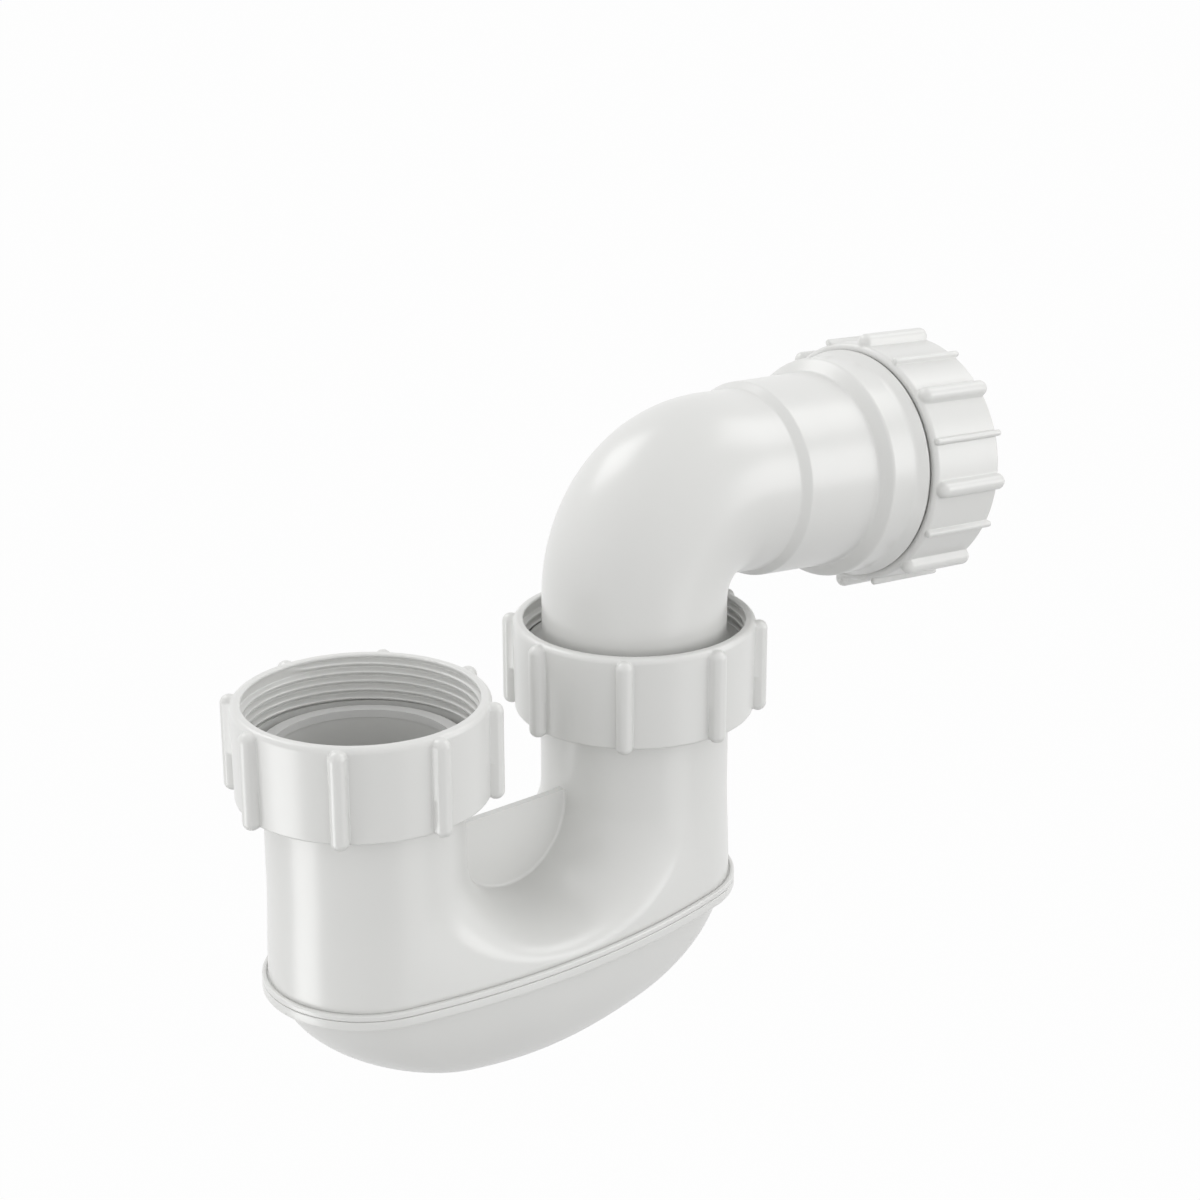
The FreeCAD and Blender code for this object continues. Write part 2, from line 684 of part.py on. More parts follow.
def bowl_form(top, depth, grow):
    """Returns the boat-shaped form of the bowl, from its rim down to its lowest point."""
    long_power = S["bowl_long_power"].value
    cross_power = S["bowl_cross_power"].value
    # Near the bowl's ends the round ends take no more than this share of its length.
    round_share = 0.7
    middle = S["leg_spacing"].value / 2
    end = seam_end_radius().value + grow
    side = seam_half_width().value + grow
    sections = []
    for degrees in (0, 12, 24, 36, 48, 60, 70, 78, 84):
        angle = math.radians(degrees)
        fall = math.sin(angle) ** (2 / long_power)
        along = math.cos(angle) ** (2 / long_power)
        across = math.cos(angle) ** (2 / cross_power)
        half_width = side * across
        half_length = (middle + end) * along
        round_end = min(end * across, half_length * round_share)
        sections.append(oval(half_length, half_width, round_end, middle, top - depth * fall))
    return Part.makeLoft(sections, True, False)


def make_trap_bowl():
    """Makes the lower moulding: the bowl and the rim by which it is welded on."""
    rim_top = -(S["seam_depth"] + S["body_rim_height"]).value
    rim_height = S["bowl_rim_height"].value
    rim_foot = rim_top - rim_height
    depth = S["bowl_depth"].value
    wall = S["wall"].value
    inset = S["bowl_inset"].value
    rim = shaped("bowl_rim_solid", slab(seam_oval(S["rim_reach"].value, rim_top), -rim_height))
    outside = shaped("bowl_outside", bowl_form(rim_foot, depth, -inset))
    throat = shaped("bowl_throat", slab(seam_oval(-wall, rim_top), -rim_height))
    inside = shaped("bowl_inside", bowl_form(rim_foot, depth - wall, -wall))
    return hollowed("trap_bowl", [rim, outside], [throat, inside])


def seat_on_riser(body):
    body.Placement.Base.x = S["leg_spacing"].value
    bind(body, "Placement.Base.x", S["leg_spacing"])
    return body


def check_and_write(parts):
    """Checks every object of the document, then writes each sub-part's file."""
    document.recompute()
    for item in document.Objects:
        if "Invalid" in item.State or "Error" in item.State:
            raise RuntimeError(f"{item.Name} failed: {item.State}")
    os.makedirs("parts", exist_ok=True)
    for part in parts:
        shape = part.Shape
        if shape.isNull() or not shape.isValid():
            raise RuntimeError(f"{part.Label} has no valid shape")
        if len(shape.Solids) != 1:
            raise RuntimeError(f"{part.Label} has {len(shape.Solids)} solids")
        shape.exportStep(f"parts/{part.Label}.step")
        print(f"{part.Label}: {shape.Volume / 1000:.1f} cm3")


check_and_write([
    make_trap_body(),
    make_trap_bowl(),
    leg_nut("inlet_nut"),
    make_washer("inlet_washer"),
    seat_on_riser(leg_nut("riser_nut")),
    seat_on_riser(make_washer("riser_washer")),
    make_elbow(),
    make_outlet_nut(),
    make_slip_ring(),
    make_outlet_seal(),
])
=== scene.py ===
"""Looks of a white moulded swivel P-trap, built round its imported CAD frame.

Every shape is worked out in millimetres in the frame of the part: the origin is
the centre of the inlet nut's mouth, +Z is up the inlet and +X runs to the riser.
The points become metres only where a mesh is written.
"""

import logging
import math
from dataclasses import dataclass, field, replace
from enum import Enum
from typing import Sequence

import bmesh
import bpy
import numpy as np
from mathutils import Matrix, Vector


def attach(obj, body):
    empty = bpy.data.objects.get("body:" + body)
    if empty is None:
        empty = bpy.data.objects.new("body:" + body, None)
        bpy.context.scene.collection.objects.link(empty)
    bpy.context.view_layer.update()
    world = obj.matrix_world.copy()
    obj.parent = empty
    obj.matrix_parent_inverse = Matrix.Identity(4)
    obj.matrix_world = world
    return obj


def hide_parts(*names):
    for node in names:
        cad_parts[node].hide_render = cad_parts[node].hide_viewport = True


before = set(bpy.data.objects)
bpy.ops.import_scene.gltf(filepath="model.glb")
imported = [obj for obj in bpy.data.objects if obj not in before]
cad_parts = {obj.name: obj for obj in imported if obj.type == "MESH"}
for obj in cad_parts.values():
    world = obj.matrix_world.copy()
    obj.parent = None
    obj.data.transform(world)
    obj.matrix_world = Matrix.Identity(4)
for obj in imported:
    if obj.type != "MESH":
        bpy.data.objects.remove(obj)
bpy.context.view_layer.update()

log = logging.getLogger("swivel_trap")
Array = np.ndarray
Colour = tuple[float, float, float]

MM = 0.001
FULL = 2 * math.pi
WELD = 1e-3
LEG_SPACING = 85.7
OUTLET_HEIGHT = 32.4
OUTLET_FALL = math.radians(5.0)
BEND_RADIUS = 24.4


# Meshes from grids of points

class Moulding:
    """Grids of points, in millimetres, that become the welded mesh of one piece."""

    def __init__(self, name: str) -> None:
        """Starts an empty piece with the name of its Blender object."""
        self.name = name
        self.points: list[Array] = []
        self.corners: list[Array] = []
        self.count = 0

    def add(self, grid: Array, close_rows: bool = False, close_columns: bool = False) -> None:
        """Adds a grid of points as quads.

        Args:
            grid: points of shape (rows, columns, 3).
            close_rows: joins the last row to the first one.
            close_columns: joins the last column to the first one.
        """
        rows, columns = grid.shape[:2]
        index = np.arange(rows * columns).reshape(rows, columns)
        if close_rows:
            index = np.vstack([index, index[:1]])
        if close_columns:
            index = np.hstack([index, index[:, :1]])
        quads = np.stack([index[:-1, :-1], index[1:, :-1], index[1:, 1:], index[:-1, 1:]], axis=-1)
        self.points.append(grid.reshape(-1, 3))
        self.corners.append(quads.reshape(-1, 4) + self.count)
        self.count += rows * columns

    def bridge(self, first: Array, second: Array, closed: bool = False) -> None:
        """Joins two lines of as many points with one strip of quads."""
        self.add(np.stack([first, second]), close_columns=closed)

    def finish(self, crease: float = 38.0) -> bpy.types.Object:
        """Welds the grids, turns their faces outwards and makes the object.

        Args:
            crease: the angle in degrees above which an edge is shaded sharp.

        Returns:
            The object, with its place in its mesh.
        """
        points = np.concatenate(self.points)
        quads = np.concatenate(self.corners)
        _, first, joined = np.unique(np.round(points / WELD).astype(np.int64), axis=0,
                                     return_index=True, return_inverse=True)
        points = points[first] * MM
        quads = joined.reshape(-1)[quads]
        halves = np.concatenate([quads[:, [0, 1, 2]], quads[:, [0, 2, 3]]])
        alive = ((halves[:, 0] != halves[:, 1]) & (halves[:, 1] != halves[:, 2])
                 & (halves[:, 2] != halves[:, 0]))
        broken = ~(alive[:len(quads)] & alive[len(quads):])
        triangles = halves[alive & np.concatenate([broken, broken])]
        mesh = bpy.data.meshes.new(self.name)
        mesh.from_pydata(points, [], quads[~broken].tolist() + triangles.tolist())
        shell = bmesh.new()
        shell.from_mesh(mesh)
        bmesh.ops.recalc_face_normals(shell, faces=shell.faces)
        shell.to_mesh(mesh)
        shell.free()
        mesh.polygons.foreach_set("use_smooth", np.ones(len(mesh.polygons), bool))
        mesh.set_sharp_from_angle(angle=math.radians(crease))
        piece = bpy.data.objects.new(self.name, mesh)
        bpy.context.scene.collection.objects.link(piece)
        return piece


def rounded_path(corners: Sequence[tuple[float, ...]], closed: bool = False,
                 steps: int = 6) -> Array:
    """Rounds the corners of an outline with arcs that touch both of their sides.

    Args:
        corners: x, y and, where the corner is rounded, its radius.
        closed: whether the last corner leads back to the first one.
        steps: spans in each arc.

    Returns:
        Points of shape (n, 2), without a repeated last point.
    """
    spots = np.array([corner[:2] for corner in corners], float)
    path: list[Array] = []
    for i, corner in enumerate(corners):
        if len(corner) < 3 or (not closed and i in (0, len(corners) - 1)):
            path.append(spots[i][None])
            continue
        back = spots[i - 1] - spots[i]
        ahead = spots[(i + 1) % len(spots)] - spots[i]
        back /= np.hypot(*back)
        ahead /= np.hypot(*ahead)
        half = math.acos(float(np.clip(back @ ahead, -1, 1))) / 2
        middle = back + ahead
        centre = spots[i] + middle / np.hypot(*middle) * corner[2] / math.sin(half)
        reach = corner[2] / math.tan(half)
        start = spots[i] + back * reach - centre
        end = spots[i] + ahead * reach - centre
        sweep = math.pi - 2 * half
        share = np.linspace(0, 1, steps + 1)[:, None]
        path.append(centre + (np.sin((1 - share) * sweep) * start + np.sin(share * sweep) * end)
                    / math.sin(sweep))
    return np.concatenate(path)


def with_longest(path: Array, longest: float) -> Array:
    """Divides the spans of a path evenly, so that none is longer than a length."""
    spans = np.hypot(*np.diff(path, axis=0).T)
    counts = np.maximum(1, np.ceil(spans / longest)).astype(int)
    start = np.repeat(np.arange(len(counts)), counts)
    share = np.concatenate([np.arange(count) / count for count in counts])[:, None]
    return np.concatenate([path[start] * (1 - share) + path[start + 1] * share, path[-1:]])


def turned(profile: Array, turns: Array, centre: float = 0.0) -> Array:
    """Carries a profile of radius and height round an upright axis.

    The point at turn a is (centre + radius * cos a, radius * sin a, height).
    """
    radius, height = profile[:, 0][:, None], profile[:, 1][:, None]
    return np.stack([centre + radius * np.cos(turns), radius * np.sin(turns),
                     height + 0 * turns], axis=-1)


def whole_turn(count: int) -> Array:
    """Evenly spaced turns, without the repeated last one."""
    return np.arange(count) * FULL / count


def smooth_step(value: Array, start: float, end: float) -> Array:
    """Rises from 0 at the start to 1 at the end, level at both."""
    share = np.clip((value - start) / (end - start), 0, 1)
    return share * share * (3 - 2 * share)


def round_meet(first: Array, second: Array, radius: float) -> Array:
    """Distance to the overlap of two solids whose meeting edge is rounded outwards."""
    over = np.hypot(np.maximum(first + radius, 0), np.maximum(second + radius, 0))
    return np.minimum(-radius, np.maximum(first, second)) + over


def round_join(first: Array, second: Array, radius: float) -> Array:
    """Distance to two solids joined, with a hollow round in the corner between them."""
    under = np.hypot(np.maximum(radius - first, 0), np.maximum(radius - second, 0))
    return np.maximum(radius, np.minimum(first, second)) - under


def outlet_place(distance: float) -> Matrix:
    """Stands -Z along the outlet axis, the origin at a distance from the riser axis."""
    x = LEG_SPACING + distance * math.cos(OUTLET_FALL)
    z = OUTLET_HEIGHT - distance * math.sin(OUTLET_FALL)
    lean = Matrix.Rotation(OUTLET_FALL - math.pi / 2, 4, "Y")
    return Matrix.Translation((x, 0, z)) @ lean


def carried(grid: Array, place: Matrix) -> Array:
    """Turns and moves a grid of points by a matrix in millimetres."""
    return grid @ np.array(place.to_3x3()).T + np.array(place.translation)


# Shader nodes

class Flow:
    """A number on its way between shader nodes, for use in Python expressions."""

    def __init__(self, bench: "Bench", socket: bpy.types.NodeSocket | None) -> None:
        """Wraps an output socket of the bench's node tree, or none for a last node."""
        self.bench = bench
        self.socket = socket

    def _maths(self, operation: str, first: object, second: object) -> "Flow":
        """Adds a Math node for one operation on two values."""
        return self.bench.node("ShaderNodeMath", {"operation": operation}, {0: first, 1: second})

    def __add__(self, other: object) -> "Flow":
        """Adds a value."""
        return self._maths("ADD", self, other)

    def __sub__(self, other: object) -> "Flow":
        """Takes a value away."""
        return self._maths("SUBTRACT", self, other)

    def __rsub__(self, other: object) -> "Flow":
        """Is taken away from a value."""
        return self._maths("SUBTRACT", other, self)

    def __mul__(self, other: object) -> "Flow":
        """Multiplies by a value."""
        return self._maths("MULTIPLY", self, other)

    def at_least(self, other: object) -> "Flow":
        """Gives the larger of two values."""
        return self._maths("MAXIMUM", self, other)

    def ramp(self, start: float, end: float, low: float, high: float) -> "Flow":
        """Maps start..end smoothly on low..high."""
        return self.bench.node("ShaderNodeMapRange", {"interpolation_type": "SMOOTHSTEP"},
                               {0: self, 1: start, 2: end, 3: low, 4: high})

    __radd__ = __add__
    __rmul__ = __mul__


class Bench:
    """Makes and joins the nodes of one material or world."""

    def __init__(self, tree: bpy.types.NodeTree) -> None:
        """Clears the tree."""
        self.tree = tree
        tree.nodes.clear()

    def node(self, kind: str, settings: dict[str, object] | None = None,
             inputs: dict[int | str, object] | None = None, output: int | str = 0) -> Flow:
        """Adds one node.

        Args:
            kind: the node's Blender type.
            settings: the node's own properties, set before its sockets.
            inputs: values or flows, by the name or number of the socket.
            output: the socket that is returned.

        Returns:
            The flow out of the chosen socket.
        """
        node = self.tree.nodes.new(kind)
        for name, value in (settings or {}).items():
            setattr(node, name, value)
        for name, value in (inputs or {}).items():
            if isinstance(value, Flow):
                self.tree.links.new(value.socket, node.inputs[name])
            else:
                node.inputs[name].default_value = value
        return Flow(self, node.outputs[output] if len(node.outputs) else None)

    def noise(self, scale: float, detail: float = 2.0,
              stretch: tuple[float, ...] = (1, 1, 1)) -> Flow:
        """Adds noise on Object coordinates, in cells per metre, stretched by axis."""
        place = self.node("ShaderNodeTexCoord", output="Object")
        place = self.node("ShaderNodeMapping", {}, {"Vector": place, "Scale": stretch})
        return self.node("ShaderNodeTexNoise", {}, {"Vector": place, "Scale": scale,
                                                    "Detail": detail})

    def blend(self, share: Flow, first: Colour, second: Colour) -> Flow:
        """Mixes two colours by a share of the second one."""
        return self.node("ShaderNodeMix", {"data_type": "RGBA"},
                         {0: share, 6: (*first, 1), 7: (*second, 1)}, 2)

    def seen(self) -> Flow:
        """Gives 1 for rays from the camera, reflections and refractions."""
        camera = self.node("ShaderNodeLightPath", output="Is Camera Ray")
        glossy = self.node("ShaderNodeLightPath", output="Is Glossy Ray")
        through = self.node("ShaderNodeLightPath", output="Is Transmission Ray")
        return camera.at_least(glossy).at_least(through)


@dataclass(frozen=True)
class MouldedPlastic:
    """A moulded plastic with a faint cloudiness, flow marks and a slightly wavy skin."""

    name: str
    colour: Colour
    cloud: Colour
    roughness: float
    roughness_swing: float
    wave: float
    grain: float
    ior: float = 1.49

    def material(self) -> bpy.types.Material:
        """Builds the material, or gives the one that is already built."""
        made = bpy.data.materials.get(self.name)
        if made:
            return made
        material = bpy.data.materials.new(self.name)
        material.use_nodes = True
        bench = Bench(material.node_tree)
        clouds = bench.noise(34.0, 3.0).ramp(0.3, 0.7, 0.0, 1.0)
        streaks = bench.noise(70.0, 2.0, (1.0, 1.0, 0.22)).ramp(0.35, 0.7, 0.0, 1.0)
        specks = bench.noise(1500.0, 1.0).ramp(0.66, 0.76, 0.0, 1.0)
        tone = clouds * 0.6 + streaks * 0.3 + specks * 0.1
        colour = bench.blend(tone, self.colour, self.cloud)
        rough = self.roughness + (streaks - 0.5) * self.roughness_swing
        waves = bench.noise(120.0, 1.0)
        grain = bench.noise(2600.0, 2.0)
        height = waves * self.wave + grain * self.grain
        bump = bench.node("ShaderNodeBump", {}, {"Strength": 1.0, "Distance": MM,
                                                 "Height": height})
        surface = bench.node("ShaderNodeBsdfPrincipled", {}, {
            "Base Color": colour, "Roughness": rough, "Normal": bump, "IOR": self.ior})
        bench.node("ShaderNodeOutputMaterial", {}, {"Surface": surface})
        return material


@dataclass(frozen=True)
class PaleGround:
    """The plain ground, near white to the camera, that still keeps a faint shadow."""

    name: str = "pale_ground"
    whiteness: float = 0.98
    colour: Colour = (0.36, 0.36, 0.36)
    cloud: Colour = (0.38, 0.38, 0.38)

    def material(self) -> bpy.types.Material:
        """Builds the ground's material."""
        material = bpy.data.materials.new(self.name)
        material.use_nodes = True
        bench = Bench(material.node_tree)
        tone = bench.noise(3.0).ramp(0.2, 0.8, 0.0, 1.0)
        colour = bench.blend(tone, self.colour, self.cloud)
        matt = bench.node("ShaderNodeBsdfDiffuse", {}, {"Color": colour})
        bright = bench.node("ShaderNodeEmission", {}, {"Color": (1, 1, 1, 1), "Strength": 1.0})
        both = bench.node("ShaderNodeMixShader", {},
                          {0: bench.seen() * self.whiteness, 1: matt, 2: bright})
        bench.node("ShaderNodeOutputMaterial", {}, {"Surface": both})
        return material


class Finish(Enum):
    """The finishes of the trap's mouldings and rings."""

    GLOSS_WHITE = MouldedPlastic(
        "gloss_white_moulding", colour=(0.672, 0.673, 0.657), cloud=(0.662, 0.663, 0.648),
        roughness=0.28, roughness_swing=0.01, wave=0.002, grain=0.0003, ior=1.8)
    WASHER = MouldedPlastic(
        "soft_washer_plastic", colour=(0.70, 0.70, 0.69), cloud=(0.66, 0.66, 0.65),
        roughness=0.42, roughness_swing=0.08, wave=0.01, grain=0.003)
    HARD_RING = MouldedPlastic(
        "matt_ring_plastic", colour=(0.66, 0.66, 0.65), cloud=(0.6, 0.6, 0.59),
        roughness=0.45, roughness_swing=0.08, wave=0.01, grain=0.003)
    RUBBER = MouldedPlastic(
        "black_seal_rubber", colour=(0.018, 0.018, 0.019), cloud=(0.026, 0.026, 0.026),
        roughness=0.6, roughness_swing=0.12, wave=0.01, grain=0.01)


def dress(piece: bpy.types.Object, finish: Finish, body: str, slot: str,
          *nodes: str) -> bpy.types.Object:
    """Gives a new piece its finish and its body, and hides the nodes it stands for."""
    piece.data.materials.append(finish.value.material())
    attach(piece, body)
    if nodes:
        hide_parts(*nodes)
    log.info("%s: %d faces on %s", piece.name, len(piece.data.polygons), body)
    return piece


def dress_node(node: str, finish: Finish) -> None:
    """Gives a carried-over CAD node its finish."""
    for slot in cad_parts[node].material_slots:
        slot.material = finish.value.material()
    log.info("%s: kept from the CAD, %s", node, finish.value.name)


# Ribbed nuts, each worked out with its mouth at height 0 and its lip below

@dataclass(frozen=True)
class RibRing:
    """One ring of upright ribs with rounded ends."""

    count: int
    start: float
    axis: float
    radius: float
    end_round: float
    top: float
    foot: float

    def distance(self, radius: Array, height: Array, turns: Array) -> Array:
        """Distance to the nearest rib, a round bar with rounded ends.

        With the turn folded to the nearest rib, the level distance to the bar's axis
        is the third side of a triangle of the point's radius and the axis's radius.
        """
        step = FULL / self.count
        fold = np.mod(turns - self.start + step / 2, step) - step / 2
        level = np.sqrt(np.maximum(
            radius ** 2 + self.axis ** 2 - 2 * radius * self.axis * np.cos(fold), 0))
        out = level - (self.radius - self.end_round)
        half = (self.top - self.foot) / 2 - self.end_round
        along = np.abs(height - (self.top + self.foot) / 2) - half
        outside = np.hypot(np.maximum(out, 0), np.maximum(along, 0))
        return outside + np.minimum(np.maximum(out, along), 0) - self.end_round


@dataclass(frozen=True)
class ScrewRidge:
    """The ridge of an inside thread, which starts below a plain recessed mouth."""

    crest: float = 28.33
    depth: float = 1.25
    pitch: float = 2.309
    first: float = -2.2
    start: float = math.radians(95)
    fade: float = 0.05
    end: float = -12.2

    def radius_at(self, height: Array, turns: Array) -> Array:
        """Radius of the threaded wall at a height and turn.

        The ridge sinks by one pitch for each turn clockwise seen from the mouth.
        Across it the wall is a rounded wave of the height measured in pitches, and
        it fades in over the first part of its first turn. Above it and below its end
        the wall lies at the root of the thread.
        """
        lap_share = np.mod(self.start - turns, FULL) / FULL
        lap = (self.first - height) / self.pitch - lap_share
        across = smooth_step(1 - np.abs(2 * (lap - np.floor(lap + 0.5))), 0.1, 0.92)
        lead = smooth_step(lap_share, 0, self.fade)
        begun = np.where(lap < -0.5, 0.0, np.where(lap < 0.5, lead, 1.0))
        return self.crest + self.depth * (1 - across * begun * (height > self.end))


@dataclass
class RibbedNut:
    """A nut with upright ribs that runs into its wall with hollow rounds."""

    name: str
    body: str
    ribs: list[RibRing]
    outside: float = 31.3
    taper: float = 0.3
    height: float = 24.3
    mouth: float = 28.56
    mouth_round: float = 1.5
    inner_round: float = 0.4
    inner_top: float = -0.7
    lip_round: float = 0.8
    lip_bore: float = 24.75
    hollow_round: float = 0.4
    place: Matrix = field(default_factory=Matrix)
    search_steps: int = 80
    search_share: float = 0.88
    search_limit: float = 14.0

    def distance(self, radius: Array, height: Array, turns: Array) -> Array:
        """Distance to the outer form: its wall and ribs, with the mouth cut out."""
        wall = radius - (self.outside + self.taper * height / self.height)
        form = round_meet(wall, height, self.mouth_round)
        form = round_meet(form, -self.height - height, self.lip_round)
        for ring in self.ribs:
            form = round_join(form, ring.distance(radius, height, turns), self.hollow_round)
        return round_meet(form, np.minimum(self.mouth - radius, height + 5.0), self.inner_round)

    def turns(self) -> Array:
        """Turns round the nut, close together at the ribs and wide apart between them."""
        ribs = sorted(((ring.start + FULL * k / ring.count) % FULL,
                       (ring.radius + self.hollow_round) * 1.1 / ring.axis)
                      for ring in self.ribs for k in range(ring.count))
        marks: list[Array] = []
        for (turn, reach), (onward, next_reach) in zip(
                ribs, ribs[1:] + [(ribs[0][0] + FULL, ribs[0][1])]):
            marks.append(np.linspace(turn - reach, turn + reach, 27))
            marks.append(np.linspace(turn + reach, onward - next_reach, 7)[1:-1])
        return np.concatenate(marks)

    def outer_skin(self, turns: Array) -> Array:
        """Finds the outer form along rays that fan out from inside the wall.

        Each point starts inside and is moved along its ray by most of the distance
        that is still left to the surface, until none is left.
        """
        core = (self.outside + self.mouth) / 2
        top, foot = -self.mouth_round - 0.6, 1.6 - self.height
        first = math.atan2(self.inner_top - top, self.mouth - core)
        fan = np.linspace(first, 0, 24, endpoint=False)
        side = np.concatenate([np.linspace(0, 0.17, 11, endpoint=False),
                               np.linspace(0.17, 0.84, 14, endpoint=False),
                               np.linspace(0.84, 1, 12)])
        low = np.linspace(0, -math.radians(174), 40)[1:]
        aim = np.concatenate([fan, 0 * side, low])
        start = np.concatenate([top + 0 * fan, top + (foot - top) * side, foot + 0 * low])
        aim = aim[:, None] + 0 * turns
        start = start[:, None] + 0 * turns
        around = turns + 0 * start
        away = np.zeros_like(start)
        for _ in range(self.search_steps):
            left = self.distance(core + away * np.cos(aim), start + away * np.sin(aim), around)
            away = np.clip(away - self.search_share * left, 0, self.search_limit)
        radius = np.maximum(core + away * np.cos(aim), self.lip_bore)
        height = start + away * np.sin(aim)
        return np.stack([radius * np.cos(around), radius * np.sin(around), height], axis=-1)

    def inner_skin(self, turns: Array) -> Array:
        """Gives the inside, from the lip's lower edge up to the mouth."""
        raise NotImplementedError

    def build(self) -> bpy.types.Object:
        """Makes the nut as one closed shell, puts it in place and dresses it."""
        turns = self.turns()
        shell = np.concatenate([self.outer_skin(turns), self.inner_skin(turns)])
        moulding = Moulding(self.name)
        moulding.add(carried(shell, self.place), close_rows=True, close_columns=True)
        return dress(moulding.finish(50.0), Finish.GLOSS_WHITE, self.body, "white_plastic",
                     self.body)


@dataclass
class UnionNut(RibbedNut):
    """A nut that hangs on a leg's flange, with an inside thread at its mouth."""

    lip_top: float = -20.7
    relief: float = 28.83
    relief_top: float = -12.5
    thread_foot: float = -12.3
    rim_foot: float = -1.25
    ridge: ScrewRidge = ScrewRidge()

    def inner_skin(self, turns: Array) -> Array:
        """Gives the lip's bore, the cone, the relief and the thread up to the mouth.

        Just under the mouth the threaded wall draws in to the rim's inner edge.
        """
        cone_top = self.lip_top + self.relief - self.lip_bore
        low = with_longest(np.array([(self.lip_bore, self.lip_top), (self.relief, cone_top),
                                     (self.relief, self.relief_top)]), 1.5)
        height = np.linspace(self.thread_foot, self.inner_top - 0.06, 140)[:, None] + 0 * turns
        rim = smooth_step(height, self.rim_foot, self.inner_top)
        radius = self.ridge.radius_at(height, turns) * (1 - rim) + self.mouth * rim
        thread = np.stack([radius * np.cos(turns), radius * np.sin(turns), height], axis=-1)
        return np.concatenate([turned(low, turns), thread])


@dataclass
class CompressionNut(RibbedNut):
    """The nut on the outlet, with wide and narrow ribs in turn and a flat lip."""

    lip_top: float = -20.7
    bore: float = 30.03

    def inner_skin(self, turns: Array) -> Array:
        """Gives the lip's bore and the plain bore that runs on the socket."""
        profile = np.array([(self.lip_bore, -self.height + 0.1), (self.lip_bore, self.lip_top),
                            (self.bore, self.lip_top), (self.bore, self.inner_top - 0.1)])
        return turned(with_longest(profile, 2.5), turns)


class NutSet:
    """The two union nuts and the compression nut."""

    def build(self) -> list[bpy.types.Object]:
        """Builds the three nuts."""
        wide = RibRing(count=8, start=0.0, axis=32.0, radius=2.2, end_round=2.1, top=-0.2,
                       foot=-24.9)
        nuts = [UnionNut("inlet_union_nut", "inlet_nut", [wide]),
                UnionNut("riser_union_nut", "riser_nut", [wide],
                         place=Matrix.Translation((LEG_SPACING, 0, 0)))]
        outlet_wide = replace(wide, axis=33.0, foot=-24.7)
        outlet_narrow = replace(outlet_wide, start=math.pi / 8, axis=32.9, radius=0.9,
                                end_round=0.6)
        nuts.append(CompressionNut(
            "outlet_compression_nut", "outlet_nut", [outlet_wide, outlet_narrow],
            outside=32.3, taper=0.0, height=24.1, mouth=30.03, mouth_round=1.3,
            inner_round=0.25, inner_top=-0.5, lip_bore=27.3, place=outlet_place(76.7)))
        return [nut.build() for nut in nuts]


# Trap body and bowl

@dataclass(frozen=True)
class SeamOval:
    """The trap's plan at its weld seam: two round ends and two long side arcs."""

    spacing: float = LEG_SPACING
    end: float = 25.0
    half_width: float = 30.2

    @property
    def middle(self) -> float:
        """Gives x of the plan's middle."""
        return self.spacing / 2

    @property
    def side_radius(self) -> float:
        """Gives the radius of the long arcs, which touch both ends."""
        return ((self.middle ** 2 + self.half_width ** 2 - self.end ** 2)
                / (2 * (self.half_width - self.end)))

    @property
    def shift(self) -> float:
        """Gives how far the long arcs' centres lie beyond the middle line."""
        return self.side_radius - self.half_width

    @property
    def tilt(self) -> float:
        """Gives the turn from straight across at which arcs and ends touch."""
        return math.atan2(self.middle, self.shift)

    def turns(self) -> Array:
        """Gives the turns of the outline's normal, evenly along its four parts."""
        bend = math.pi / 2 - self.tilt
        end = np.linspace(-bend, bend, 64, endpoint=False)
        side = np.linspace(bend, math.pi - bend, 44, endpoint=False)
        return np.concatenate([end, side, end + math.pi, side + math.pi])

    def around(self, turns: Array, grow: Array) -> tuple[Array, Array]:
        """Gives x and y where the outline's normal has a turn, grown by a distance."""
        cosine, sine = np.cos(turns), np.sin(turns)
        on_side = np.abs(sine) > math.cos(self.tilt) - 1e-9
        end_x = np.where(cosine > 0, self.spacing, 0.0)
        centre_x = np.where(on_side, self.middle, end_x)
        centre_y = np.where(on_side, -np.sign(sine) * self.shift, 0.0)
        radius = np.where(on_side, self.side_radius, self.end) + grow
        return centre_x + radius * cosine, centre_y + radius * sine

    def side(self, x: Array) -> Array:
        """Gives the half width at x, between the leg axes."""
        return np.sqrt(self.side_radius ** 2 - (x - self.middle) ** 2) - self.shift

    def reach(self, turns: Array) -> Array:
        """Gives the distance from the inlet leg's axis, on the side away from the riser."""
        along = np.cos(turns) * self.middle - np.abs(np.sin(turns)) * self.shift
        rest = self.side_radius ** 2 - self.middle ** 2 - self.shift ** 2
        on_side = np.abs(np.cos(turns)) < math.sin(self.tilt)
        return np.where(on_side, along + np.sqrt(along ** 2 + rest), self.end)


SEAM = SeamOval()


def swept_round(profile: Array) -> Array:
    """Carries a profile of reach and height round the seam's oval."""
    turns = SEAM.turns()
    x, y = SEAM.around(turns, profile[:, 0][:, None])
    return np.stack([x, y, profile[:, 1][:, None] + 0 * turns], axis=-1)


